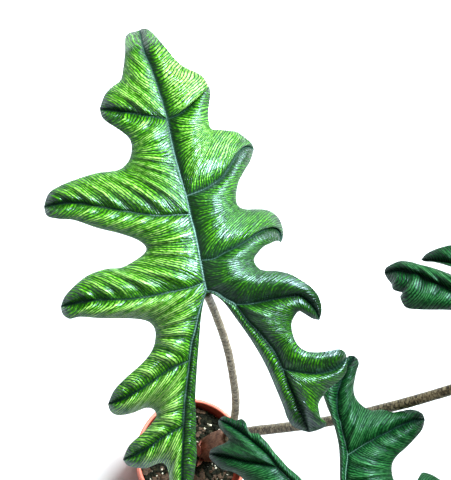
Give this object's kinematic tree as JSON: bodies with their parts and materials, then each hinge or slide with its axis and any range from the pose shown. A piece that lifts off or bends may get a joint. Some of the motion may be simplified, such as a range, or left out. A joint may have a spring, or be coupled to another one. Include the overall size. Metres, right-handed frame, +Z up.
{
  "type": "potted plant",
  "caption": "Potted houseplant with long arrow-shaped, deeply lobed leaves on mottled stalks that rise from a sheathed crown in a round nursery pot.",
  "frame": {"origin": "middle of the pot's flat base", "axes": "+Z up along the pot's axis, +Y to the picture's top, +X to the picture's right"},
  "size_m": [0.6536, 0.5487, 0.5515],
  "materials": {
    "pot": "terracotta-coloured, satin",
    "soil": "loose potting mix with perlite",
    "sheath": "dry papery sheath over a fleshy stem",
    "cataphyll": "thin, pink, papery",
    "petiole": "beige-grey with dark brown mottling",
    "blade_bright": "bright green, quilted and slightly shiny",
    "blade_dark": "dark green, quilted and slightly shiny"
  },
  "bodies": {
    "root": {"pot": "pot", "soil": "soil", "crown": "sheath", "cataphyll_1": "cataphyll", "cataphyll_2": "cataphyll", "petiole_a": "petiole", "petiole_b": "petiole", "petiole_c": "petiole", "blade_a": "blade_bright", "blade_b": "blade_dark", "blade_c": "blade_dark"}
  },
  "joints": []
}
